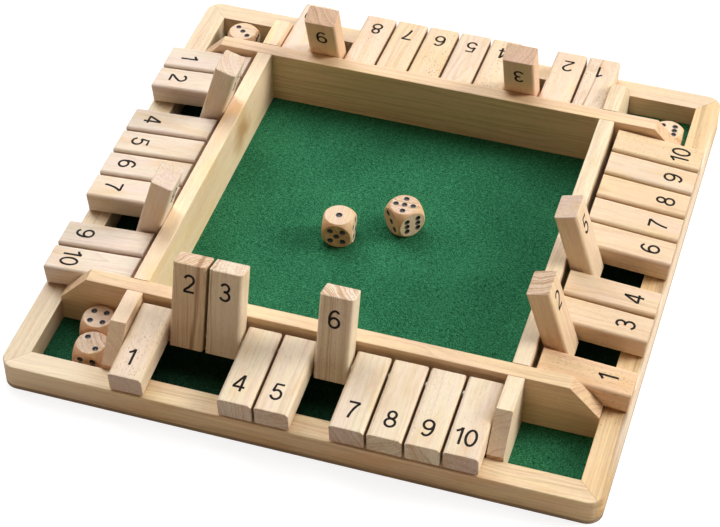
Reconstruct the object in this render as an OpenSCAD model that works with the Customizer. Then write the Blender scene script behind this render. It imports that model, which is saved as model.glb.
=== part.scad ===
// Shut the box for four players: a shallow wooden board with a felt floor, a square arena in the
// middle, ten hinged number tiles along each side and a dice compartment in each corner.
// Z is up, the origin is the centre of the underside, and -Y is the front. Millimetres.

/* [Tiles] */
// Tiles along each side, numbered from the player's left
tile_count = 10; // [10]
// Width of one tile
tile_w = 17.3; // [13:0.1:22]
// Thickness of one tile
tile_th = 11.8; // [9:0.1:12.2]
// Gap between two neighbouring tiles
tile_gap = 1.14; // [0.6:0.02:2]
// Rounding along the four long edges of a tile
tile_edge_r = 2; // [0.6:0.1:3]
// Easing of the edges around the two ends of a tile
tile_end_ease = 0.6; // [0.2:0.1:1]
// Distance from the pivot to the heel end of a tile
tile_heel = 6.7; // [5:0.1:7]
// Distance that a lowered tile's toe keeps from the outer face of its rail
toe_inset = 0.4; // [0.3:0.1:4]

/* [Pivots] */
// Diameter of the steel rod that one row of tiles turns on
rod_d = 3; // [2:0.1:4]
// Distance from the outside of the arena wall to the axis of the rod
rod_from_wall = 9.2; // [9:0.1:11]
// Height of the rod's axis above the felt
rod_above_felt = 21; // [19:0.1:22]
// Depth to which a rod is let into the boards at its two ends
rod_seat = 6; // [3:0.5:7]
// Play of a rod in the boards that hold it
rod_play = 0.02; // [0.01:0.01:0.05]
// Play of a tile's bore around the rod
bore_play = 0.07; // [0.02:0.01:0.1]
// Gap that a tile keeps to the rail or the wall that stops it
stop_gap = 0.1; // [0.05:0.05:0.3]

/* [Frame] */
// Width of the outer rail, seen from above
rail_w = 12.5; // [9:0.1:18]
// Height of the outer rail above the base board
rail_h = 12.6; // [10:0.1:13.5]
// Rounding of the frame's four corners
corner_r = 8; // [2:0.5:12]
// Easing of the rails' outer top edge
rail_ease = 0.7; // [0.2:0.1:1.5]
// Thickness of the base board
base_t = 2.4; // [1.5:0.1:5]
// Thickness of the felt glued on the base board
felt_t = 0.6; // [0.4:0.1:1.5]
// Gap between the edge of the felt and the rails
felt_gap = 0.2; // [0.1:0.1:1]

/* [Arena walls] */
// Thickness of the four crossed boards
wall_t = 8.3; // [7.2:0.1:12]
// Easing of the boards' two top edges
wall_ease = 0.5; // [0.2:0.1:1.5]
// Height of the boards above the felt
wall_h = 30.65; // [28:0.05:34]
// Width of a tile bay, from the wall to the rail
bay_w = 37; // [35:0.5:42]
// Length of the slanted cut at each end of a board
clip_run = 15.1; // [8:0.1:16]
// Depth of the slanted cut at the very end of a board
clip_drop = 16; // [8:0.1:17]
// Gap in the halving joint and at the ends of the boards
joint_gap = 0.1; // [0.05:0.05:0.3]

/* [Dice] */
// Edge of a die
die_edge = 16; // [12:0.1:16.2]
// Radius of the ball that rounds a die's corners
die_ball_r = 10.9; // [10:0.1:12]
// Distance from the middle of a face to the lines of its pips
pip_pitch = 3.25; // [2:0.05:3.6]
// Diameter of a pip
pip_d = 2.7; // [1.6:0.1:3.2]
// Diameter of the lone pip
lone_pip_d = 3.2; // [2:0.1:4.5]
// Depth of a pip
pip_depth = 0.8; // [0.3:0.1:1]
// Air under a die, which keeps it clear of the felt
die_lift = 0.05; // [0.02:0.01:0.2]

/* [Hidden] */
$fn = 64;
eps = 1;
wood = "BurlyWood";
pale_wood = "Wheat";

// Plan of the board, from the middle outwards
tile_pitch = tile_w + tile_gap;
arena_side = tile_count * tile_pitch;
wall_in = arena_side / 2;
wall_out = wall_in + wall_t;
rail_in = wall_out + bay_w;
board_half = rail_in + rail_w;

// Heights
felt_z = base_t + felt_t;
rail_top = base_t + rail_h;
wall_top = felt_z + wall_h;
rod_z = felt_z + rod_above_felt;
rod_at = wall_out + rod_from_wall;

// A lowered tile rests on the rail by the eased corner of its toe
tile_reach = board_half - toe_inset - rod_at;
toe_x = tile_reach - tile_end_ease;
toe_z = tile_th / 2 - tile_end_ease;
lowered_tilt = asin((rail_top + stop_gap + tile_end_ease - rod_z) / norm([toe_x, toe_z]))
    + atan2(toe_z, toe_x);

// A raised tile leans back on the outer top edge of the arena wall
lean_z = wall_top - rod_z;
raised_tilt = atan2(rod_from_wall, lean_z)
    + acos((tile_th / 2 + stop_gap) / norm([rod_from_wall, lean_z]));

// The four sides in the order of quarter turns about Z, and the tiles that stand raised on each
SIDES = ["right", "back", "left", "front"];
RAISED = [[2, 5], [3, 9], [3, 8], [2, 3, 6]];

// Dice: the corner compartment (0, 0 is the arena), the place in it, the turn about Z, the
// number on top and the number that faces the front. In the arena the place is that of the
// die's centre, and in a compartment it is the air between the die and the two boards.
DICE = [
    [0, 0, -22.2, -4.8, 6.4, 1, 5],
    [0, 0, 8, 12.6, 47.7, 5, 6],
    [-1, -1, 5, 0.7, 2.9, 4, 1],
    [-1, -1, 1.4, 18.1, 0.2, 2, 6],
    [-1, 1, 12.8, 15.8, 4.4, 3, 2],
    [1, 1, 18.6, 2.5, 2.9, 6, 2]
];
half_die = die_edge / 2;

function tile_name(side, n) = str(SIDES[side], "_tile_", n);
function is_raised(side, n) = len([for (r = RAISED[side]) if (r == n) r]) > 0;
function die_at(corner, place) = corner == 0 ? place : corner * (wall_out + place + half_die);

// ---- flat outlines ----

// Square of the given half side with round corners
module rounded_square(half, r) {
    square([2 * (half - r), 2 * half], center = true);
    square([2 * half, 2 * (half - r)], center = true);
    for (x = [-1, 1])
        for (y = [-1, 1])
            translate([x * (half - r), y * (half - r)]) circle(r = r);
}

// Rectangle with round corners, w along X and h along Y
module rounded_bar(w, h, r) {
    square([w - 2 * r, h], center = true);
    square([w, h - 2 * r], center = true);
    for (x = [-1, 1])
        for (y = [-1, 1])
            translate([x * (w / 2 - r), y * (h / 2 - r)]) circle(r = r);
}

// Rectangle that stands on the X axis, w wide and h high, with its two top corners eased
module eased_bar(w, h, r) {
    translate([-w / 2, 0]) square([w, h - r]);
    translate([r - w / 2, 0]) square([w - 2 * r, h]);
    for (x = [-1, 1])
        translate([x * (w / 2 - r), h - r]) circle(r = r);
}

// ---- base, felt and rails ----

module base_board() {
    color(wood) linear_extrude(base_t) rounded_square(board_half, corner_r);
}

module felt() {
    side = 2 * (rail_in - felt_gap);
    color("SeaGreen") translate([0, 0, base_t + felt_t / 2]) cube([side, side, felt_t], center = true);
}

// Block of the frame's outline, with round corners and an eased top edge
module frame_block() {
    straight = 2 * (board_half - corner_r);
    for (turn = [0, 90])
        rotate([90, 0, turn]) linear_extrude(straight, center = true)
            eased_bar(2 * board_half, rail_h, rail_ease);
    for (x = [-1, 1])
        for (y = [-1, 1])
            translate([x * straight / 2, y * straight / 2])
                rotate_extrude() corner_profile();
}

// Half section of a round corner of the frame, from its centre line outwards
module corner_profile() {
    square([corner_r - rail_ease, rail_h]);
    square([corner_r, rail_h - rail_ease]);
    translate([corner_r - rail_ease, rail_h - rail_ease]) intersection() {
        circle(r = rail_ease);
        square(rail_ease);
    }
}

// One side of the frame, mitred at both ends
module rail(side) {
    color(wood) rotate(side * 90) translate([0, 0, base_t])
        intersection() {
            difference() {
                frame_block();
                translate([-rail_in, -rail_in, -eps]) cube([2 * rail_in, 2 * rail_in, rail_h + 2 * eps]);
            }
            linear_extrude(rail_h)
                polygon([[0, 0], [board_half, -board_half], [board_half, board_half]]);
        }
}

// ---- arena walls ----

// Side view of a board, with both ends cut on a slant
module wall_outline() {
    end = rail_in - joint_gap;
    flat_end = end - clip_run;
    polygon([
        [-end, 0], [end, 0], [end, wall_h - clip_drop], [flat_end, wall_h],
        [-flat_end, wall_h], [-end, wall_h - clip_drop]
    ]);
}

// A board before it is cut, standing on the felt along the Y axis
module wall_blank() {
    intersection() {
        rotate([90, 0, 90]) linear_extrude(wall_t) wall_outline();
        translate([wall_t / 2, 0, 0]) rotate([90, 0, 0])
            linear_extrude(2 * rail_in, center = true) eased_bar(wall_t, wall_h, wall_ease);
    }
}

// One board of the arena. The front and back boards pass over the other two in a halving joint.
module wall(side) {
    is_over = side % 2 == 1;
    slot_w = wall_t + 2 * joint_gap;
    slot_h = wall_h / 2 + joint_gap / 2 + eps;
    slot_z = is_over ? -eps : wall_h / 2 - joint_gap / 2;
    color(pale_wood) rotate(side * 90) translate([wall_in, 0, felt_z])
        difference() {
            wall_blank();
            for (end = [-1, 1]) {
                translate([-eps, end * (wall_in + wall_t / 2) - slot_w / 2, slot_z])
                    cube([wall_t + 2 * eps, slot_w, slot_h]);
                translate([-eps, end * rod_at, rod_above_felt]) rotate([0, 90, 0])
                    cylinder(d = rod_d + 2 * rod_play, h = rod_seat + joint_gap + eps);
            }
        }
}

// ---- pivot rods and tiles ----

// Four plain steel rods, each let into the boards at its two ends
module pivot_rods() {
    color("Silver") for (side = [0:3])
        rotate(side * 90) translate([rod_at, 0, rod_z]) rotate([90, 0, 0])
            cylinder(d = rod_d, h = arena_side + 2 * rod_seat, center = true);
}

// A tile with its pivot on the Y axis and its toe towards +X
module tile_blank() {
    tile_len = tile_heel + tile_reach;
    difference() {
        translate([tile_reach - tile_len / 2, 0, 0]) intersection() {
            rotate([90, 0, 90]) linear_extrude(tile_len, center = true)
                rounded_bar(tile_w, tile_th, tile_edge_r);
            rotate([90, 0, 0]) linear_extrude(tile_w, center = true)
                rounded_bar(tile_len, tile_th, tile_end_ease);
            linear_extrude(tile_th, center = true)
                rounded_bar(tile_len, tile_w, tile_end_ease);
        }
        rotate([90, 0, 0])
            cylinder(d = rod_d + 2 * bore_play, h = tile_w + 2 * eps, center = true);
    }
}

module tile(side, n) {
    tilt = is_raised(side, n) ? raised_tilt : lowered_tilt;
    along = (n - (tile_count + 1) / 2) * tile_pitch;
    color(wood) rotate(side * 90) translate([rod_at, along, rod_z]) rotate([0, -tilt, 0])
        tile_blank();
}

// ---- dice ----

// Where the pips of a number lie on a face, in steps of the pip pitch
function pips(number) =
    number == 1 ? [[0, 0]] :
    number == 2 ? [[-1, 1], [1, -1]] :
    number == 3 ? [[-1, 1], [0, 0], [1, -1]] :
    number == 4 ? [[-1, 1], [1, 1], [-1, -1], [1, -1]] :
    number == 5 ? [[-1, 1], [1, 1], [0, 0], [-1, -1], [1, -1]] :
    [[-1, 1], [1, 1], [-1, 0], [1, 0], [-1, -1], [1, -1]];

// The balls that cut the pips of one number into the face at +Z
module pip_cutters(number) {
    r = (number == 1 ? lone_pip_d : pip_d) / 2;
    ball_r = (r * r + pip_depth * pip_depth) / (2 * pip_depth);
    for (p = pips(number))
        translate([p[0] * pip_pitch, p[1] * pip_pitch, half_die - pip_depth + ball_r])
            sphere(r = ball_r);
}

// Outward direction of each number's face when 1 is on top, 2 in front and 3 on the right
FACE_TURNS = [[0, 0, 0], [90, 0, 0], [0, 90, 0], [0, -90, 0], [-90, 0, 0], [180, 0, 0]];
FACE_NORMALS = [[0, 0, 1], [0, -1, 0], [1, 0, 0], [-1, 0, 0], [0, 1, 0], [0, 0, -1]];

module die_blank() {
    difference() {
        intersection() {
            cube(die_edge, center = true);
            sphere(r = die_ball_r);
        }
        for (number = [1:6])
            rotate(FACE_TURNS[number - 1]) pip_cutters(number);
    }
}

// Turns a die so that the chosen numbers come to the top and to the front
module show_faces(top, front) {
    up = FACE_NORMALS[top - 1];
    back = -FACE_NORMALS[front - 1];
    across = cross(back, up);
    multmatrix([
        [across[0], across[1], across[2], 0],
        [back[0], back[1], back[2], 0],
        [up[0], up[1], up[2], 0]
    ]) children();
}

module die(d) {
    row = DICE[d - 1];
    color(pale_wood)
        translate([die_at(row[0], row[2]), die_at(row[1], row[3]), felt_z + die_lift + half_die])
            rotate(row[4]) show_faces(row[5], row[6]) die_blank();
}

base_board();
felt();
pivot_rods();
for (side = [0:3]) {
    rail(side);
    wall(side);
    for (n = [1:tile_count])
        tile(side, n);
}
for (d = [1:len(DICE)])
    die(d);
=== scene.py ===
import math
import random

import bpy
from mathutils import Matrix, Vector


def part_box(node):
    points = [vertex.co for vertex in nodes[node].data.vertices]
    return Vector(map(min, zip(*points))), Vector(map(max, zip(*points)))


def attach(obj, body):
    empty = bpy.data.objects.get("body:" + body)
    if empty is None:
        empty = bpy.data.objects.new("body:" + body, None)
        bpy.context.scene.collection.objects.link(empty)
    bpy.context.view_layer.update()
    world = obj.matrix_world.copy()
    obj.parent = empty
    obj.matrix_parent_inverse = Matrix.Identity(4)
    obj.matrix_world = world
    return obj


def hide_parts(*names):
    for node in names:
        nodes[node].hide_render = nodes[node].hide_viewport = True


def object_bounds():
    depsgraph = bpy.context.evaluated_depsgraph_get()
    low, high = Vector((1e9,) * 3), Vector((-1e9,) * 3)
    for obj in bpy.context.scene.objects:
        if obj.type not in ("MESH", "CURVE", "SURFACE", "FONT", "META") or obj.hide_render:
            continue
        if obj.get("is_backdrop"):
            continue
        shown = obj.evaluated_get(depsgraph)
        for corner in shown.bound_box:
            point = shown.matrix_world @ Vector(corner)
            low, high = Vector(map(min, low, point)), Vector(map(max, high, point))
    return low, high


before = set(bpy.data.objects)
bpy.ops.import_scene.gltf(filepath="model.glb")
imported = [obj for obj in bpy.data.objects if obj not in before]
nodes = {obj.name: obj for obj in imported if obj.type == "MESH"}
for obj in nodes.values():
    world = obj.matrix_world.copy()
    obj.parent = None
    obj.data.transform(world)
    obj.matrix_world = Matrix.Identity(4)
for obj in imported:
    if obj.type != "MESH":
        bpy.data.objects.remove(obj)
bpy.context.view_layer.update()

# ---- Camera ----
# It stands in front of the board and a little to its right, and looks down at about 45 degrees
# from 1.1 m away with a long lens. The small roll is the photograph's own.
camera_place = Vector((0.23211, -0.76232, 0.77221))
camera_aim = Vector((-0.00704, -0.0174, 0))
camera_roll = math.radians(-0.52)

bpy.ops.object.camera_add(location=camera_place)
camera = bpy.context.object
looking = (camera_aim - camera_place).normalized().to_track_quat("-Z", "Y")
camera.rotation_mode = "QUATERNION"
camera.rotation_quaternion = looking @ Matrix.Rotation(camera_roll, 3, "Z").to_quaternion()
camera.data.sensor_width = 36
camera.data.lens = 105.995
camera.data.clip_start = 0.05
camera.data.clip_end = 20
bpy.context.scene.camera = camera
bpy.context.scene.view_settings.view_transform = "Standard"


# ---- Table top and studio light ----
# A plain white table under large soft lamps. The strongest stands to the right of the board and a
# little behind it, so that what faces the camera is in half shade, as in a catalogue photograph.
table_size = 12
table_drop = 0.0002

# What the table throws on the board, and what the camera sees of it: white with a soft shadow
table_bounce = (0.70, 0.65, 0.58, 1)
table_seen = (0.27, 0.27, 0.27, 1)
table_glow = 0.86


class Value:
    """A number in a material. Arithmetic on it adds Math nodes."""

    def __init__(self, tree, socket):
        self.tree, self.socket = tree, socket

    def maths(self, operation, *others, first=None):
        made = self.tree.nodes.new("ShaderNodeMath")
        made.operation = operation
        terms = (self, *others) if first is None else (first, self, *others)
        for socket, value in zip(made.inputs, terms):
            fill(self.tree, socket, value)
        return Value(self.tree, made.outputs[0])

    def __add__(self, other):
        return self.maths("ADD", other)

    def __mul__(self, other):
        return self.maths("MULTIPLY", other)

    def __sub__(self, other):
        return self.maths("SUBTRACT", other)

    def __truediv__(self, other):
        return self.maths("DIVIDE", other)

    def __pow__(self, other):
        return self.maths("POWER", other)

    def __rsub__(self, other):
        return self.maths("SUBTRACT", first=other)

    def __abs__(self):
        return self.maths("ABSOLUTE")

    __radd__ = __add__
    __rmul__ = __mul__

    def ramp(self, low, high):
        """0 below low and 1 above high, with a smooth rise between. High may be the lower one."""
        return add_node(
            self.tree, "MapRange", {"interpolation_type": "SMOOTHSTEP"},
            Value=self, From_Min=low, From_Max=high,
        )

    def share(self):
        """The number kept between 0 and 1."""
        return self.maths("MAXIMUM", 0.0).maths("MINIMUM", 1.0)


def fill(tree, socket, value):
    """Links a shader value to a socket, or writes a plain number, colour or vector in it."""
    if isinstance(value, Value):
        tree.links.new(value.socket, socket)
    else:
        socket.default_value = value


def add_node(tree, kind, settings=None, out=0, **sockets):
    """Adds a node. A socket is named by its label with _ for a space, or as in0, in1 by number."""
    made = tree.nodes.new("ShaderNode" + kind)
    for name, value in (settings or {}).items():
        setattr(made, name, value)
    for name, value in sockets.items():
        number = name[2:]
        key = int(number) if name[:2] == "in" and number.isdigit() else name.replace("_", " ")
        fill(tree, made.inputs[key], value)
    return Value(tree, made.outputs[out])


def new_material(name):
    material = bpy.data.materials.new(name)
    material.use_nodes = True
    material.node_tree.nodes.clear()
    return material


def surface(material, shader):
    output = material.node_tree.nodes.new("ShaderNodeOutputMaterial")
    material.node_tree.links.new(shader.socket, output.inputs["Surface"])


bpy.ops.mesh.primitive_plane_add(size=table_size, location=(0, 0, -table_drop))
table_top = bpy.context.object
table_top.name = "table_top"
table_top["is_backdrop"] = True
white_table = new_material("white_table")
tree = white_table.node_tree
matt = add_node(tree, "BsdfDiffuse", Color=table_bounce)
matt_seen = add_node(tree, "BsdfDiffuse", Color=table_seen)
glow = add_node(tree, "Emission", Color=(1, 1, 1, 1), Strength=table_glow)
seen_table = add_node(tree, "AddShader", in0=matt_seen, in1=glow)
to_camera = add_node(tree, "LightPath")
surface(white_table, add_node(tree, "MixShader", Fac=to_camera, in1=matt, in2=seen_table))
table_top.data.materials.append(white_table)

room = bpy.data.worlds.new("studio")
bpy.context.scene.world = room
room.use_nodes = True
tree = room.node_tree
tree.nodes.clear()
to_camera = add_node(tree, "LightPath")
to_metal = add_node(tree, "LightPath", out="Is Glossy Ray")
seen = to_camera.maths("MAXIMUM", to_metal)
fill_light = add_node(tree, "Background", Color=(1, 0.5, 0.22, 1), Strength=0.065)
backdrop = add_node(tree, "Background", Color=(1, 1, 1, 1), Strength=1.0)
sky = add_node(tree, "MixShader", Fac=seen, in1=fill_light, in2=backdrop)
output = tree.nodes.new("ShaderNodeOutputWorld")
tree.links.new(sky.socket, output.inputs["Surface"])

# Each lamp's place, width, power in watts and colour. All of them face the board.
lamps = {
    "right_lamp": ((3.1, 1.2, 1.6), 1.6, 88, (1, 0.98, 0.88)),
    "high_lamp": ((2.4, 1.0, 2.6), 1.8, 33, (1, 1, 0.97)),
    "left_lamp": ((-1.9, 1.7, 2.5), 2.0, 61, (0.98, 1, 1)),
    "top_lamp": ((0, 1.0, 3.3), 2.2, 33, (0.98, 1, 1)),
    "back_card": ((-0.6, 2.3, 2.35), 1.6, 14, (1, 1, 1)),
    "front_card": ((-0.5, -2.6, 0.24), 0.9, 4, (1, 0.75, 0.5)),
}
for name, (place, size, power, tint) in lamps.items():
    bpy.ops.object.light_add(type="AREA", location=place)
    lamp = bpy.context.object
    lamp.name = name
    lamp.data.shape = "DISK"
    lamp.data.size = size
    lamp.data.energy = power
    lamp.data.color = tint
    lamp.rotation_euler = (-Vector(place)).to_track_quat("-Z", "Y").to_euler()


# ---- Base board ----
# A thin pale board, as wide as the frame and with the same round corners. The rails are glued on
# it and the felt covers the rest, so that only its edge shows, as a line under the rails.
def vector_maths(tree, operation, a, b=None, out=0, scale=None):
    sockets = {"in0": a}
    if b is not None:
        sockets["in1"] = b
    if scale is not None:
        sockets["Scale"] = scale
    return add_node(tree, "VectorMath", {"operation": operation}, out, **sockets)


def noise(tree, place, stretch, detail=2.0, roughness=0.5, out=0):
    """Smooth noise. Stretch is how many of its spots fit in a millimetre, in three directions."""
    stretched = vector_maths(tree, "MULTIPLY", place, stretch)
    return add_node(
        tree, "TexNoise", None, out, Vector=stretched, Scale=1.0, Detail=detail, Roughness=roughness
    )


def blend_colours(tree, share, a, b, kind="MIX"):
    return add_node(
        tree, "Mix", {"data_type": "RGBA", "blend_type": kind}, 2, in0=share, in6=a, in7=b
    )


def tinted(tree, colour, tint):
    return blend_colours(tree, 1.0, colour, tint, "MULTIPLY")


def axis_of(tree, vector, axis):
    """One number of a vector, by its letter."""
    return add_node(tree, "SeparateXYZ", None, axis, Vector=vector)


def place_on_piece(tree, middle=None):
    """The place on the piece in millimetres, from the board's middle or from the given point."""
    place = add_node(tree, "TexCoord", None, "Object")
    if middle is not None:
        place = vector_maths(tree, "SUBTRACT", place, middle)
    return vector_maths(tree, "SCALE", place, scale=1000.0)


# What is set for each board: how it lies, where the heart of the log was, its marks and its
# tones. Gaps are how much painted shade its low and high sides get, and where those sides begin.
wood_looks = {
    "Centre": ("Vector", (0, 0, 0)),
    "Grain": ("Vector", (1, 0, 0)),
    "Across": ("Vector", (0, 1, 0)),
    "Heart": ("Vector", (20, -30, 0.03)),
    "Seed": ("Float", 0.0),
    "Ring Width": ("Float", 3.2),
    "Rings": ("Float", 1.0),
    "Streaks": ("Float", 1.0),
    "Specks": ("Float", 0.0),
    "Vein": ("Float", 0.0),
    "Vein Place": ("Vector", (0, 1.5, 0)),
    "Gaps": ("Vector", (0, 0, 8.42)),
    "Light Tone": ("Color", (0.95, 0.78, 0.59, 1)),
    "Dark Tone": ("Color", (0.62, 0.39, 0.205, 1)),
    "Warm Tone": ("Color", (0.93, 0.69, 0.42, 1)),
    "End Tone": ("Color", (0.78, 0.77, 0.87, 1)),
}
rosy, straw = (1, 0.955, 0.955, 1), (1, 1, 0.93, 1)
resin_brown = (0.26, 0.13, 0.06, 1)
shaded_brown = (0.24, 0.11, 0.03, 1)
pine_reflects = (0.87, 0.87, 0.87, 1)

wood_grain = bpy.data.node_groups.new("wood_grain", "ShaderNodeTree")
for name, (kind, value) in wood_looks.items():
    made = wood_grain.interface.new_socket(name, in_out="INPUT", socket_type="NodeSocket" + kind)
    made.default_value = value
for name, kind in (("Colour", "Color"), ("Roughness", "Float"), ("Height", "Float")):
    wood_grain.interface.new_socket(name, in_out="OUTPUT", socket_type="NodeSocket" + kind)
tree = wood_grain
given = tree.nodes.new("NodeGroupInput")
look = {name: Value(tree, given.outputs[name]) for name in wood_looks}

# The place in the piece in millimetres: along the grain, across it, and up from the wide face
up = vector_maths(tree, "CROSS_PRODUCT", look["Grain"], look["Across"])
place = place_on_piece(tree, look["Centre"])
along = vector_maths(tree, "DOT_PRODUCT", place, look["Grain"], "Value")
across = vector_maths(tree, "DOT_PRODUCT", place, look["Across"], "Value")
height = vector_maths(tree, "DOT_PRODUCT", place, up, "Value")
in_log = add_node(
    tree, "CombineXYZ", X=along + look["Seed"] * 61.0, Y=across + look["Seed"] * 17.0, Z=height
)
normal = add_node(tree, "TexCoord", None, "Normal")
end_grain = abs(vector_maths(tree, "DOT_PRODUCT", normal, look["Grain"], "Value")).ramp(0.6, 0.95)

# Growth rings: the distance from the heart of the log, bent a little along the board
bent = noise(tree, in_log, (0.012, 0.05, 0.05), out="Color")
bend_across, bend_up = (axis_of(tree, bent, axis) for axis in "XY")
heart_across, heart_up, slope = (axis_of(tree, look["Heart"], axis) for axis in "XYZ")
from_heart_across = across - heart_across + slope * along + (bend_across - 0.5) * 9.0
from_heart_up = height - heart_up + (bend_up - 0.5) * 9.0
age = (from_heart_across ** 2 + from_heart_up ** 2) ** 0.5 / look["Ring Width"]
uneven = add_node(
    tree, "TexNoise", {"noise_dimensions": "1D"}, W=age * 0.31 + look["Seed"], Detail=1.0
)
age = age + uneven * 2.4
in_ring = age.maths("FRACT")
late_wood = in_ring ** 2.6 * in_ring.ramp(1.0, 0.88)
ring_strength = noise(tree, in_log, (0.01, 0.08, 0.08))

# Soft broad streaks, fibres, cloudy and warm tones, small brown specks, pores and one dark vein
streak = noise(tree, in_log, (0.014, 0.55, 0.55), 4.0, 0.6)
fibre = noise(tree, in_log, (0.06, 2.0, 2.0), 3.0, 0.65)
cloud = noise(tree, in_log, (0.018, 0.045, 0.045))
warm = noise(tree, in_log, (0.03, 0.11, 0.11), 2.0).ramp(0.48, 0.78)
speck = noise(tree, in_log, (0.6, 1.9, 1.9), 2.0).ramp(0.60, 0.68)
speckled = noise(tree, in_log, (0.03, 0.09, 0.09), 1.0).ramp(0.34, 0.6)
pore = noise(tree, in_log, (0.22, 4.2, 4.2), 1.0).ramp(0.66, 0.8)
flecks = speck * speckled * look["Specks"]
vein_place, vein_width, vein_slope = (axis_of(tree, look["Vein Place"], axis) for axis in "XYZ")
from_vein = abs(across - vein_place + vein_slope * along + (bend_across - 0.5) * 7.0) / vein_width
vein = from_vein.ramp(1.0, 0.1) * (streak.ramp(0.3, 0.62) * 0.75 + 0.25) * look["Vein"]

# Torn cells on the end grain, a fine figure on the faces and a rosy blush
cut_cells = noise(tree, in_log, (1.4, 1.4, 1.4), 3.0, 0.7)
figure = noise(tree, in_log, (0.3, 1.1, 1.1), 3.0, 0.65)
blush = noise(tree, in_log, (0.022, 0.14, 0.14), 2.0).ramp(0.36, 0.64)

# All of it darkens the wood from its light tone to its dark one
dark = late_wood * (ring_strength * 0.75) * look["Rings"] * (end_grain * 2.4 + 1)
dark = dark + (streak - 0.5).maths("MAXIMUM", -0.2) * 0.6 * look["Streaks"]
dark = dark + (cloud - 0.5) * 0.3 + (fibre - 0.5) * 0.5 + (figure - 0.5) * 0.55 + 0.07
dark = dark + pore * 0.12 + vein + flecks + (cut_cells - 0.47) * end_grain * 1.7
colour = blend_colours(tree, warm * 0.75, look["Light Tone"], look["Warm Tone"])
colour = tinted(tree, colour, blend_colours(tree, blush, rosy, straw))
colour = blend_colours(tree, dark.share(), colour, look["Dark Tone"])
resinous = (flecks * 0.75 + vein * 0.4).maths("MINIMUM", 0.7)
colour = blend_colours(tree, resinous, colour, resin_brown)
colour = blend_colours(tree, end_grain, colour, tinted(tree, colour, look["End Tone"]))

# The shade on the sides that face a close neighbour is part painted: one share for each side
low_gap, high_gap, gap_edge = (axis_of(tree, look["Gaps"], axis) for axis in "XYZ")
low_side = (across * -1.0 - gap_edge).ramp(0.0, 0.2) * low_gap
high_side = (across - gap_edge).ramp(0.0, 0.2) * high_gap
colour = blend_colours(tree, (low_side + high_side) * 0.75, colour, shaded_brown)
colour = tinted(tree, colour, pine_reflects)

result = tree.nodes.new("NodeGroupOutput")
tree.links.new(colour.socket, result.inputs["Colour"])
rough = (fibre - 0.5) * 0.25 + end_grain * 0.15 + late_wood * -0.06 + 0.52
tree.links.new(rough.socket, result.inputs["Roughness"])
relief = fibre * 0.5 + streak * 0.3 - pore * 0.5 - flecks * 0.4
tree.links.new(relief.socket, result.inputs["Height"])


def wood(name, gloss=0.35, relief=0.4, **looks):
    """A wood for one board. Looks are the inputs of wood_grain, by label with _ for a space."""
    material = new_material(name)
    tree = material.node_tree
    grain = tree.nodes.new("ShaderNodeGroup")
    grain.node_tree = wood_grain
    for label, value in looks.items():
        grain.inputs[label.replace("_", " ")].default_value = value
    bump = add_node(
        tree, "Bump", Strength=relief, Distance=0.00012, Height=Value(tree, grain.outputs["Height"])
    )
    surface(material, add_node(
        tree, "BsdfPrincipled", Base_Color=Value(tree, grain.outputs["Colour"]),
        Roughness=Value(tree, grain.outputs["Roughness"]), Normal=bump, Specular_IOR_Level=gloss,
    ))
    return material


def finish_node(name, material):
    for material_slot in nodes[name].material_slots:
        material_slot.material = material


finish_node("base_board", wood(
    "base_board_wood", Grain=(1, 0, 0), Across=(0, 1, 0), Heart=(40, -220, 0.01), Seed=3.7,
    Ring_Width=4.0, Light_Tone=(0.62, 0.50, 0.37, 1), Dark_Tone=(0.40, 0.28, 0.18, 1),
))

# ---- Felt ----
# One sheet of short green felt, glued on the base board from rail to rail. The crossed walls
# stand on it, so it shows in the arena, in the tile bays and in the corner compartments.
felt_low, felt_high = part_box("felt")
felt_side = felt_high.x - felt_low.x
felt_thickness = 0.00058
felt_air_below = 0.00002
felt_cuts = 96

bpy.ops.object.select_all(action="DESELECT")
bpy.ops.mesh.primitive_plane_add(size=felt_side, location=(0, 0, felt_low.z + felt_thickness))
felt = bpy.context.object
felt.name = "felt_sheet"
bpy.ops.object.mode_set(mode="EDIT")
bpy.ops.mesh.subdivide(number_cuts=felt_cuts)
bpy.ops.object.mode_set(mode="OBJECT")
bpy.ops.object.transform_apply(location=True)
thicken = felt.modifiers.new("thickness", "SOLIDIFY")
thicken.thickness = felt_thickness - felt_air_below
thicken.offset = -1
bpy.ops.object.modifier_apply(modifier="thickness")

green_felt = new_material("green_felt")
tree = green_felt.node_tree
place = place_on_piece(tree)


def brushed(degrees, seed):
    """Short fine strokes of nap that lie at an angle, a little curled."""
    lie = (math.cos(math.radians(degrees)), math.sin(math.radians(degrees)), 0)
    wander = noise(tree, place, (0.22, 0.22, 0.22), 2.0, out="Color")
    curled = vector_maths(tree, "ADD", place, vector_maths(tree, "SCALE", wander, scale=5.0))
    lengthwise = vector_maths(tree, "DOT_PRODUCT", curled, lie, "Value")
    crosswise = vector_maths(tree, "DOT_PRODUCT", curled, (-lie[1], lie[0], 0), "Value")
    strokes = add_node(tree, "CombineXYZ", X=lengthwise, Y=crosswise, Z=seed)
    return noise(tree, strokes, (0.42, 1.75, 1), 2.0, 0.6)


brushed_this_way = noise(tree, place, (0.045, 0.045, 0.045), 2.0).ramp(0.42, 0.58)
one_way, other_way = brushed(38, 0.0), brushed(-31, 7.0)
fluff = one_way + (other_way - one_way) * brushed_this_way
nap = noise(tree, place, (1.4, 1.4, 1), 2.0, 0.7)
worn = noise(tree, place, (0.03, 0.03, 0.03), 3.0)
shade = (fluff - 0.5) * 2.9 + (nap - 0.5) * 3.4 + (worn - 0.5) * 0.6 + 0.38
colour = blend_colours(tree, shade.share(), (0.007, 0.070, 0.030, 1), (0.050, 0.275, 0.131, 1))

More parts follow.
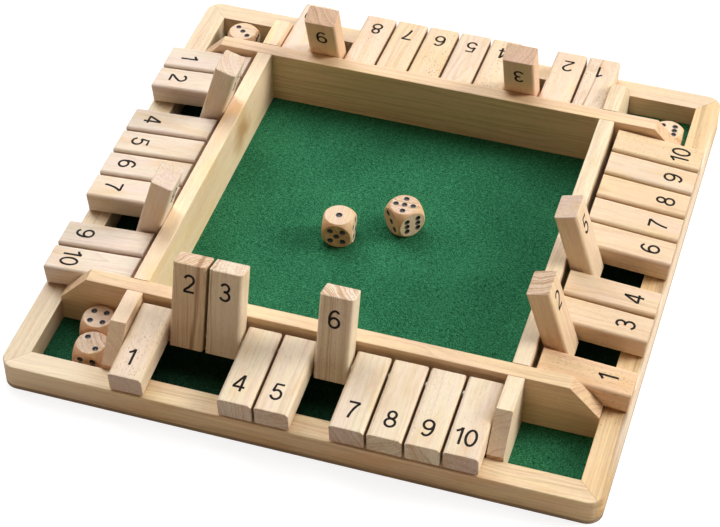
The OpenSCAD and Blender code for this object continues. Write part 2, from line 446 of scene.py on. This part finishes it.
# These lamps don't give all of the shade in the bays and in the front left compartment, so part
# of it is painted. Its edges, in millimetres from the board's middle, are hidden by the walls.
in_arena, past_arena = 96.0, 97.0
right_of_middle, behind_middle = (axis_of(tree, place, axis) for axis in "XY")
side_x, side_y = abs(right_of_middle), abs(behind_middle)
past_a_wall = side_x.maths("MAXIMUM", side_y).ramp(in_arena, past_arena)
within_walls = side_x.maths("MINIMUM", side_y).ramp(past_arena, in_arena)
colour = blend_colours(tree, past_a_wall * within_walls * 0.7, colour, (0.005, 0.006, 0.005, 1))
in_corner = right_of_middle.maths("MAXIMUM", behind_middle).ramp(-96.0, -98.0)
colour = blend_colours(tree, in_corner * 0.4, colour, (0.005, 0.008, 0.005, 1))
bump = add_node(tree, "Bump", Strength=0.8, Distance=0.0004, Height=fluff)
surface(green_felt, add_node(
    tree, "BsdfPrincipled", Base_Color=colour, Roughness=0.95, Normal=bump,
    Specular_IOR_Level=0.05, Sheen_Weight=0.06, Sheen_Roughness=0.6, Sheen_Tint=(0.4, 0.85, 0.6, 1),
))
felt.data.materials.append(green_felt)
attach(felt, "board")
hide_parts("felt")

# ---- Rails ----
# Four square pine rails, glued on the edge of the base board and mitred at the corners. Their
# outer edges are eased and the corners are rounded off after the glue has set.
side_names = ("right", "back", "left", "front")
rail_seeds = {"right": 11.3, "back": 5.1, "left": 8.6, "front": 2.4}
rail_hearts = {
    "right": (26, -14, 0.012), "back": (-30, -20, 0.02), "left": (22, -24, -0.015),
    "front": (-18, -34, 0.01),
}

# Each rail has its own tone, and part of the difference between the sides is painted light. Gaps
# give the inner face of each rail a painted shade.
rail_looks = {
    "right": {
        "Gaps": (0.15, 0, 6.1),
        "Light_Tone": (0.97, 0.73, 0.43, 1), "Warm_Tone": (0.93, 0.60, 0.28, 1), "Streaks": 2.6,
        "Specks": 0.4, "Vein": 0.5, "Vein_Place": (2.2, 2.4, 0.03),
    },
    "back": {"Gaps": (0.25, 0, 6.1), "Light_Tone": (0.95, 0.77, 0.57, 1)},
    "left": {"Gaps": (0.4, 0, 6.1), "Light_Tone": (0.98, 0.83, 0.63, 1)},
    "front": {
        "Gaps": (0.15, 0, 6.1),
        "Light_Tone": (0.98, 0.78, 0.52, 1), "Warm_Tone": (0.95, 0.64, 0.32, 1), "Streaks": 2.6,
        "Rings": 1.4,
    },
}


def turned(side, vector):
    """A direction or place given for the right side, carried round to another side."""
    x, y, z = vector
    return ((x, y, z), (-y, x, z), (-x, -y, z), (y, -x, z))[side]


def bare_look(material, label):
    """What a finished wood has in one input of its shader, for more to be laid over it."""
    socket = material.node_tree.nodes["Principled BSDF"].inputs[label]
    return Value(material.node_tree, socket.links[0].from_socket)


def lay_over(material, label, value):
    fill(material.node_tree, material.node_tree.nodes["Principled BSDF"].inputs[label], value)


for side, side_name in enumerate(side_names):
    low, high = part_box(side_name + "_rail")
    rail_wood = wood(
        side_name + "_rail_wood", Centre=(low + high) / 2, Grain=turned(side, (0, 1, 0)),
        Across=turned(side, (1, 0, 0)), Heart=rail_hearts[side_name], Seed=rail_seeds[side_name],
        Ring_Width=3.4, **rail_looks[side_name],
    )
    tree = rail_wood.node_tree
    colour = bare_look(rail_wood, "Base Color")
    # These are in millimetres from the middle of the board
    place = place_on_piece(tree)
    right_of_middle, behind_middle = (axis_of(tree, place, axis) for axis in "XY")
    side_x, side_y = abs(right_of_middle), abs(behind_middle)
    if side_name == "right":
        # The outer edge of the right rail is paler along the row of tiles: a painted highlight
        painted_edge_highlight = side_x.ramp(147.8, 149.2) * side_y.ramp(135.0, 100.0) * 0.45
        colour = blend_colours(tree, painted_edge_highlight, colour, (0.93, 0.88, 0.82, 1))
    if side_name == "front":
        # The left end of the front rail is paler: painted light
        painted_light_left_end = right_of_middle.ramp(-85.0, -115.0) * 0.5
        colour = blend_colours(tree, painted_light_left_end, colour, (0.95, 0.83, 0.65, 1))
    # The glue of the mitre shows as a fine dark line across the corner
    seam = abs(side_x - side_y).ramp(0.28, 0.06) * 0.4
    colour = blend_colours(tree, seam, colour, (0.22, 0.12, 0.06, 1))
    lay_over(rail_wood, "Base Color", colour)
    finish_node(side_name + "_rail", rail_wood)

# ---- Arena walls ----
# Four planed boards on edge, crossed with halving joints and cut on a slant at both ends. They
# stop the dice, and hold the ends of the pivot rods.

# The middles of the knot and of the golden patch, and how fast each fades in a millimetre
knot_at, knot_stretch = (-0.0922, 0.0415, 0.0195), (0.030, 0.056, 0.068)
golden_at, golden_stretch = (-0.0948, 0.0435, 0.0330), (0.160, 0.100, 0.095)
wall_end_tone = (0.67, 0.52, 0.45, 1)
wall_seeds = {"right": 4.4, "back": 9.2, "left": 1.7, "front": 6.3}
# Each wall has its own tone, and part of the difference between the walls is painted light.
wall_looks = {
    "right": {
        "Light_Tone": (1.0, 0.86, 0.67, 1), "Warm_Tone": (0.97, 0.74, 0.47, 1), "Streaks": 0.6,
    },
    "back": {"Light_Tone": (1.0, 0.745, 0.51, 1), "Streaks": 2.6, "Rings": 1.2},
    "left": {
        "Light_Tone": (1.1, 0.88, 0.65, 1), "Warm_Tone": (1.1, 0.78, 0.42, 1), "Streaks": 0.3,
        "Rings": 0.4,
    },
    "front": {"Light_Tone": (1.0, 0.75, 0.50, 1), "Streaks": 1.2},
}
for side, side_name in enumerate(side_names):
    low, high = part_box(side_name + "_wall")
    wall_wood = wood(
        side_name + "_wall_wood", Centre=(low + high) / 2, Grain=turned(side, (0, 1, 0)),
        Across=(0, 0, 1), Heart=(-24, 16, 0.02), Seed=wall_seeds[side_name], Ring_Width=3.8,
        End_Tone=wall_end_tone, **wall_looks[side_name],
    )
    if side_name == "left":
        # A soft resinous knot on the inner face of the left wall, and a golden patch above it
        tree = wall_wood.node_tree
        place = vector_maths(tree, "MULTIPLY", place_on_piece(tree, golden_at), golden_stretch)
        golden = vector_maths(tree, "LENGTH", place, out="Value").ramp(1.0, 0.2) * 0.5
        place = vector_maths(tree, "MULTIPLY", place_on_piece(tree, knot_at), knot_stretch)
        ragged = add_node(tree, "TexNoise", None, Vector=place, Scale=1.6, Detail=3.0)
        from_knot = vector_maths(tree, "LENGTH", place, out="Value") + (ragged - 0.5) * 0.8
        knot = from_knot.ramp(1.0, 0.1) * 0.8
        colour = blend_colours(
            tree, golden, bare_look(wall_wood, "Base Color"), (0.90, 0.53, 0.19, 1)
        )
        colour = blend_colours(tree, knot, colour, (0.50, 0.25, 0.08, 1))
        lay_over(wall_wood, "Base Color", colour)
    finish_node(side_name + "_wall", wall_wood)

# ---- Pivot rods ----
# A plain drawn steel rod through each row of tiles, with its ends let into holes in the walls. It
# shows as a bright line in the gaps between the tiles.
rod_steel = new_material("rod_steel")
tree = rod_steel.node_tree
place = place_on_piece(tree)
drawn = noise(tree, place, (0.6, 0.6, 9), 3.0, 0.6)
dull = noise(tree, place, (0.07, 0.07, 0.07), 2.0)
colour = blend_colours(tree, dull, (0.80, 0.79, 0.76, 1), (0.94, 0.93, 0.91, 1))
bump = add_node(tree, "Bump", Strength=0.15, Distance=0.00005, Height=drawn)
surface(rod_steel, add_node(
    tree, "BsdfPrincipled", Base_Color=colour, Metallic=1.0, Roughness=drawn * 0.25 + 0.22,
    Normal=bump,
))
finish_node("pivot_rods", rod_steel)

# ---- Number tiles ----
# Forty small boards with rounded edges, ten on each side of the board, drilled near the heel and
# threaded on their rod. Each is cut from another part of the plank, so no two have the same grain.
tiles_in_row = 10
rod_at = 0.1097
rod_height = 0.024
tile_pitch = 0.01844
lowered_tilt = math.radians(-4.4008)
raised_tilt = math.radians(106.8875)
raised = {"right": (2, 5), "back": (3, 9), "left": (3, 8), "front": (2, 3, 6)}
# Each row of tiles has its own tone, and part of the difference between the rows is painted light.
row_tones_and_painted_light = {
    "right": (0.935, 0.745, 0.56), "back": (0.95, 0.775, 0.63), "left": (0.96, 0.825, 0.715),
    "front": (1.0, 0.865, 0.69),
}
gap_shade = {"right": 0.5, "back": 0.7, "left": 0.7, "front": 1.0}
gap_edge_at = 8.42
# The upturned ends of the raised tiles are paler than other end grain: painted light on them.
raised_end_painted_light = {
    "right": (0.93, 0.92, 1.0, 1), "back": (0.93, 0.92, 1.0, 1), "left": (0.95, 0.92, 0.92, 1),
    "front": (0.93, 0.92, 1.0, 1),
}
# Tiles whose grain stands out from the others
tile_marks = {
    "front_tile_1": {"Specks": 0.55, "Light_Tone": (0.96, 0.80, 0.64, 1), "Rings": 0.3},
    "front_tile_2": {
        "Vein": 1.3, "Vein_Place": (2.6, 1.7, -0.03), "Streaks": 2.0, "Rings": 1.6,
        "Ring_Width": 2.6, "Heart": (26, -16, 0.04), "Light_Tone": (0.94, 0.75, 0.54, 1),
    },
    "front_tile_3": {
        "Vein": 0.6, "Vein_Place": (-6.2, 0.7, 0.03), "Rings": 0.5, "Streaks": 1.4, "Specks": 0.2,
        "Light_Tone": (1.0, 0.88, 0.70, 1),
    },
    "front_tile_4": {
        "Warm_Tone": (0.95, 0.70, 0.40, 1), "Rings": 0.5, "End_Tone": (0.83, 0.86, 1.0, 1),
    },
    "front_tile_5": {"Streaks": 1.8, "Rings": 0.5},
    "front_tile_6": {
        "Heart": (-44, -40, 0.0), "Ring_Width": 3.1, "Rings": 1.6, "Streaks": 1.4,
        "Light_Tone": (1.0, 0.88, 0.70, 1),
    },
    "front_tile_7": {"Heart": (-30, -16, 0.0), "Ring_Width": 7.6, "Rings": 0.7, "Seed": 3.0},
    "front_tile_8": {
        "Heart": (-22, 34, 0.0), "Ring_Width": 8.2, "Rings": 0.6, "Seed": 12.0,
        "End_Tone": (0.88, 0.93, 1.0, 1),
    },
    "front_tile_9": {
        "Heart": (-34, -12, 0.0), "Ring_Width": 7.0, "Rings": 0.7, "Seed": 21.0,
        "End_Tone": (0.94, 1.0, 1.1, 1),
    },
    "right_tile_1": {
        "Light_Tone": (0.96, 0.68, 0.44, 1), "Streaks": 1.9, "Rings": 0.4, "Specks": 0.5,
        "Warm_Tone": (0.90, 0.56, 0.29, 1),
    },
    "right_tile_2": {"Heart": (30, 4, 0.0), "Ring_Width": 4.0, "Rings": 1.5},
    "right_tile_4": {"Streaks": 1.7, "Rings": 1.3},
    "right_tile_5": {"Rings": 0.25},
    "right_tile_8": {"Light_Tone": (0.95, 0.73, 0.49, 1), "Streaks": 1.4},
    "right_tile_10": {"Light_Tone": (0.95, 0.73, 0.49, 1), "Specks": 0.4, "Streaks": 1.5},
    "back_tile_1": {"Specks": 0.7, "Vein": 0.8, "Vein_Place": (2.0, 0.8, 0.03)},
    "back_tile_2": {"Specks": 0.35},
    "back_tile_3": {"Light_Tone": (0.96, 0.69, 0.50, 1), "Rings": 0.6},
    "back_tile_4": {"Specks": 0.6, "Light_Tone": (0.96, 0.77, 0.58, 1)},
    "back_tile_5": {"Rings": 1.2, "Streaks": 1.3},
    "back_tile_6": {"Specks": 1.1, "Light_Tone": (0.95, 0.75, 0.54, 1)},
    "back_tile_7": {"Rings": 1.4, "Heart": (18, -15, 0.05), "Light_Tone": (0.96, 0.77, 0.56, 1)},
    "back_tile_8": {"Specks": 0.35},
    "back_tile_9": {"Heart": (-44, -40, 0.0), "Rings": 0.9, "Light_Tone": (0.95, 0.66, 0.46, 1)},
    "left_tile_3": {"Rings": 0.5, "Heart": (-20, 30, 0.0)},
    "left_tile_8": {"Rings": 0.2},
}
picked = random.Random(40)
tile_frames = {}

for side, side_name in enumerate(side_names):
    for number in range(1, tiles_in_row + 1):
        tile = f"{side_name}_tile_{number}"
        is_raised = number in raised[side_name]
        tilt = raised_tilt if is_raised else lowered_tilt
        toe = Vector(turned(side, (math.cos(tilt), 0, math.sin(tilt))))
        beside = Vector(turned(side, (0, 1, 0)))
        face = toe.cross(beside)
        along_rod = (number - (tiles_in_row + 1) / 2) * tile_pitch
        pivot = Vector(turned(side, (rod_at, along_rod, rod_height)))
        tile_frames[tile] = (pivot, toe, beside, face)
        angle = picked.uniform(0, math.tau)
        reach = picked.uniform(14, 46)
        warmth = picked.uniform(-0.5, 0.5)
        slope = picked.uniform(-0.09, 0.09)
        red, green, blue = row_tones_and_painted_light[side_name]
        looks = {
            "Heart": (reach * math.cos(angle), reach * math.sin(angle), slope),
            "Seed": picked.uniform(0, 40),
            "Ring_Width": picked.uniform(2.2, 4.0),
            "Rings": picked.uniform(0.3, 1.0),
            "Streaks": picked.uniform(0.5, 1.2),
            "Specks": max(0, picked.uniform(-0.6, 0.25)),
            "Light_Tone": (red + 0.02 * warmth, green - 0.02 * warmth, blue - 0.05 * warmth, 1),
        }
        if is_raised:
            looks["End_Tone"] = raised_end_painted_light[side_name]
        # Only the sides that face a neighbour in the same position are shaded by it
        low_side, high_side = (
            1 <= other <= tiles_in_row and (other in raised[side_name]) == is_raised
            for other in (number - 1, number + 1)
        )
        shade = gap_shade[side_name]
        looks["Gaps"] = (low_side * shade, high_side * shade, gap_edge_at)
        looks.update(tile_marks.get(tile, {}))
        finish_node(tile, wood(tile + "_wood", Centre=pivot, Grain=toe, Across=beside, **looks))

# ---- Numerals ----
# The tile's number in thin black ink on both of its broad faces, so that it can be read with the
# tile up or down. A plain upright hand of single strokes.
numeral_height = 0.0099
stroke_width = 0.00127
ink_thickness = 0.00004
ink_above = 0.00001
number_width = 0.60


def arc(middle, radii, start, stop, steps=18):
    """Points on an ellipse from one angle to another, in degrees."""
    turn = [math.radians(start + (stop - start) * step / steps) for step in range(steps + 1)]
    return [(middle[0] + radii[0] * math.cos(t), middle[1] + radii[1] * math.sin(t)) for t in turn]


def half_turn(strokes):
    """A number upside down, by its strokes in a box that is 1 high."""
    return [[(number_width - x, 1 - y) for x, y in stroke] for stroke in strokes]


# The strokes of each number, in a box that is 1 high. The two of ten are moved apart.
six = [
    arc((0.335, 0.48), (0.275, 0.47), 48, 195, 22) + [(0.075, 0.31)],
    arc((0.31, 0.31), (0.245, 0.26), 180, -180, 32),
]
nought = [arc((0.30, 0.5), (0.245, 0.45), 90, -270, 36)]
one = [[(0.03, 0.745), (0.13, 0.795), (0.22, 0.87), (0.29, 0.97)], [(0.30, 0.0), (0.30, 1.0)]]
strokes_of = {
    1: one,
    2: [
        arc((0.30, 0.70), (0.235, 0.25), 165, -40) + [(0.30, 0.33), (0.12, 0.17), (0.055, 0.05)],
        [(0.03, 0.05), (0.57, 0.05)],
    ],
    3: [
        arc((0.29, 0.735), (0.20, 0.215), 160, -80) + [(0.22, 0.53)],
        [(0.22, 0.53)] + arc((0.29, 0.285), (0.235, 0.235), 85, -160),
    ],
    4: [
        [(0.43, 0.0), (0.43, 1.0)], [(0.41, 0.97), (0.04, 0.275)], [(0.0, 0.26), (0.60, 0.26)],
    ],
    5: [
        [(0.54, 0.95), (0.155, 0.95), (0.09, 0.50)],
        [(0.09, 0.50)] + arc((0.29, 0.325), (0.245, 0.275), 130, -165, 26),
    ],
    6: six,
    7: [
        [(0.02, 0.95), (0.56, 0.95)],
        [(0.55, 0.95), (0.43, 0.78), (0.33, 0.58), (0.26, 0.36), (0.215, 0.16), (0.20, 0.0)],
    ],
    8: [
        arc((0.30, 0.74), (0.19, 0.21), 90, -270, 30),
        arc((0.30, 0.285), (0.245, 0.235), 90, -270, 32),
    ],
    9: half_turn(six),
    10: [[(x - 0.12, y) for x, y in stroke] for stroke in one]
    + [[(x + 0.38, y) for x, y in stroke] for stroke in nought],
}

black_ink = new_material("black_ink")
tree = black_ink.node_tree
patchy = noise(tree, place_on_piece(tree), (1.6, 1.6, 1.6), 3.0, 0.7)
thinned = patchy.ramp(0.45, 0.75)
colour = blend_colours(tree, thinned, (0.008, 0.005, 0.004, 1), (0.030, 0.019, 0.013, 1))
bump = add_node(tree, "Bump", Strength=0.3, Distance=0.00003, Height=patchy)
surface(black_ink, add_node(
    tree, "BsdfPrincipled", Base_Color=colour, Roughness=patchy * 0.3 + 0.4, Normal=bump,
    Specular_IOR_Level=0.12,
))

# The nib: a flat rectangle that is drawn along each stroke
nib = bpy.data.curves.new("nib", "CURVE")
nib.dimensions = "2D"
corners = nib.splines.new("POLY")
corners.points.add(3)
corners.use_cyclic_u = True
for point, (x, y) in zip(corners.points, ((-1, -1), (1, -1), (1, 1), (-1, 1))):
    point.co = (x * stroke_width / 2, y * ink_thickness / 2, 0, 1)
nib_object = bpy.data.objects.new("nib", nib)
bpy.context.scene.collection.objects.link(nib_object)


def write_number(number):
    """A number as a flat mesh, upright, with its baseline on X and its middle on the Y axis."""
    strokes = strokes_of[number]
    reach = [x for stroke in strokes for x, y in stroke]
    middle = (min(reach) + max(reach)) / 2
    path = bpy.data.curves.new(f"number_{number}", "CURVE")
    path.dimensions = "3D"
    path.twist_mode = "Z_UP"
    path.bevel_mode = "OBJECT"
    path.bevel_object = nib_object
    path.use_fill_caps = True
    for stroke in strokes:
        line = path.splines.new("POLY")
        closed = math.dist(stroke[0], stroke[-1]) < 1e-6
        drawn_points = stroke[:-1] if closed else stroke
        line.points.add(len(drawn_points) - 1)
        for point, (x, y) in zip(line.points, drawn_points):
            point.co = ((x - middle) * numeral_height, y * numeral_height, 0, 1)
        line.use_cyclic_u = closed
    drawn_number = bpy.data.objects.new(f"number_{number}", path)
    bpy.context.scene.collection.objects.link(drawn_number)
    bpy.ops.object.select_all(action="DESELECT")
    drawn_number.select_set(True)
    bpy.context.view_layer.objects.active = drawn_number
    bpy.ops.object.convert(target="MESH")
    return bpy.context.object


tile_reach = 0.0399
tile_half_thickness = 0.0059
sideways = -0.00035
# Some numerals of the front row are printed off centre
misprint = {
    "front_tile_1": -0.0014, "front_tile_2": 0.0006, "front_tile_3": 0.0005,
    "front_tile_4": -0.0006, "front_tile_5": -0.0004, "front_tile_8": 0.0005,
    "front_tile_10": -0.0003,
}
numbers = {number: write_number(number) for number in strokes_of}
for tile, (pivot, toe, beside, face) in tile_frames.items():
    number = int(tile.split("_")[-1])
    # How far the numeral stands from the toe, in front and behind. It drifts along the row.
    near_toe = 0.0080 - 0.001 * (number - 1) / 6
    top_at = 0.0045 + 0.00044 * number
    middle = pivot + beside * (sideways + misprint.get(tile, 0))
    front = middle + toe * (tile_reach - near_toe) + face * (tile_half_thickness + ink_above)
    rear = middle + toe * (tile_reach - top_at - numeral_height)
    rear -= face * (tile_half_thickness + ink_above)
    halves = []
    for place, right, upright in ((front, beside, -toe), (rear, beside, toe)):
        out = right.cross(upright)
        turn = Matrix((right, upright, out)).transposed().to_4x4()
        half = numbers[number].copy()
        half.data = numbers[number].data.copy()
        half.data.transform(Matrix.Translation(place) @ turn)
        bpy.context.scene.collection.objects.link(half)
        halves.append(half)
    bpy.ops.object.select_all(action="DESELECT")
    for half in halves:
        half.select_set(True)
    bpy.context.view_layer.objects.active = halves[0]
    bpy.ops.object.join()
    numerals = bpy.context.object
    numerals.name = tile + "_numerals"
    numerals.data.name = numerals.name
    numerals.data.materials.clear()
    numerals.data.materials.append(black_ink)
    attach(numerals, tile)
for number in numbers.values():
    bpy.data.objects.remove(number)
bpy.data.objects.remove(nib_object)

# ---- Dice ----
# Six small wooden dice, turned round on their corners, with drilled pips filled with black paint,
# which runs a little over their edges. They are loose: two lie in the arena and the others in the
# corner compartments.
dice = {
    1: {"turn": 6.4, "top": 1, "front": 5, "grain": (0, 1, 0)},
    2: {"turn": 47.7, "top": 5, "front": 6, "grain": (0, 0, 1)},
    3: {"turn": 2.9, "top": 4, "front": 1, "grain": (1, 0, 0)},
    4: {"turn": 0.2, "top": 2, "front": 6, "grain": (0, 0, 1)},
    5: {"turn": 4.4, "top": 3, "front": 2, "grain": (1, 0, 0)},
    6: {"turn": 2.9, "top": 6, "front": 2, "grain": (0, 1, 0)},
}
half_die = 8.0
ball_radius = 10.9
pip_pitch = 3.25
pip_paint = 1.55
lone_pip_paint = 1.80
no_gaps = (0, 0, 20)
# The side of each die that gets painted shade faces this way
painted_shade_side = (-0.35, -0.94, 0)
pip_steps = {
    1: [(0, 0)],
    2: [(-1, 1), (1, -1)],
    3: [(-1, 1), (0, 0), (1, -1)],
    4: [(-1, 1), (1, 1), (-1, -1), (1, -1)],
    5: [(-1, 1), (1, 1), (0, 0), (-1, -1), (1, -1)],
    6: [(-1, 1), (1, 1), (-1, 0), (1, 0), (-1, -1), (1, -1)],
}
face_turns = {
    number: Matrix.Rotation(math.radians(degrees), 3, axis)
    for number, axis, degrees in (
        (1, "X", 0), (2, "X", 90), (3, "Y", 90), (4, "Y", -90), (5, "X", -90), (6, "X", 180),
    )
}
for number, lies in dice.items():
    die = f"die_{number}"
    low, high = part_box(die)
    middle = (low + high) / 2
    turn = Matrix.Rotation(math.radians(lies["turn"]), 3, "Z")
    material = wood(
        die + "_wood", Centre=middle, Grain=turn @ Vector(lies["grain"]),
        Across=turn @ Vector(lies["grain"][1:] + lies["grain"][:1]),
        Heart=(14, -16, 0.02), Seed=number * 3.3, Ring_Width=2.2, Rings=0.8, Specks=0.1,
        Light_Tone=(0.98, 0.77, 0.60, 1), Dark_Tone=(0.50, 0.27, 0.13, 1),
        End_Tone=(0.97, 0.98, 1, 1), Gaps=no_gaps,
    )
    tree = material.node_tree
    place = place_on_piece(tree, middle)

    # Each pip is painted as far as it and a narrow rim reach from its middle on the face
    up = face_turns[lies["top"]] @ Vector((0, 0, 1))
    back = face_turns[lies["front"]] @ Vector((0, 0, -1))
    shown = turn @ Matrix((back.cross(up), back, up))
    nearest = None
    for pips, steps in pip_steps.items():
        for step_x, step_y in steps:
            pip = Vector((step_x * pip_pitch, step_y * pip_pitch, half_die))
            pip = shown @ face_turns[pips] @ pip
            beyond = vector_maths(tree, "DISTANCE", place, pip, "Value")
            beyond = beyond - (lone_pip_paint if pips == 1 else pip_paint)
            nearest = beyond if nearest is None else nearest.maths("MINIMUM", beyond)
    painted = nearest.ramp(0.04, -0.04)

    # The six faces stay plain, and the round corners are darker, as if polished
    bare = bare_look(material, "Base Color")
    from_middle = vector_maths(tree, "LENGTH", place, out="Value")
    polished = from_middle.ramp(ball_radius - 0.25, ball_radius - 0.02) * 0.9
    bare = blend_colours(tree, polished, bare, tinted(tree, bare, (0.97, 0.84, 0.68, 1)))

    # The side towards the front gets painted shade: browner, also against the felt's green on it
    normal = add_node(tree, "TexCoord", None, "Normal")
    painted_front_shade = vector_maths(tree, "DOT_PRODUCT", normal, painted_shade_side, "Value").ramp(0.4, 0.9)
    bare = blend_colours(tree, painted_front_shade, bare, tinted(tree, bare, (0.99, 0.82, 0.72, 1)))

    # The pips on top are paler at the bottom: a painted reflection of the light above
    painted_pip_reflection = axis_of(tree, normal, "Z").ramp(0.90, 0.995) * 0.8
    pip_paint_and_reflection = blend_colours(tree, painted_pip_reflection, (0.007, 0.006, 0.006, 1), (0.16, 0.14, 0.15, 1))
    lay_over(material, "Base Color", blend_colours(tree, painted, bare, pip_paint_and_reflection))
    dull = bare_look(material, "Roughness")
    lay_over(material, "Roughness", dull + (0.3 - dull) * painted)
    finish_node(die, material)

low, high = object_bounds()
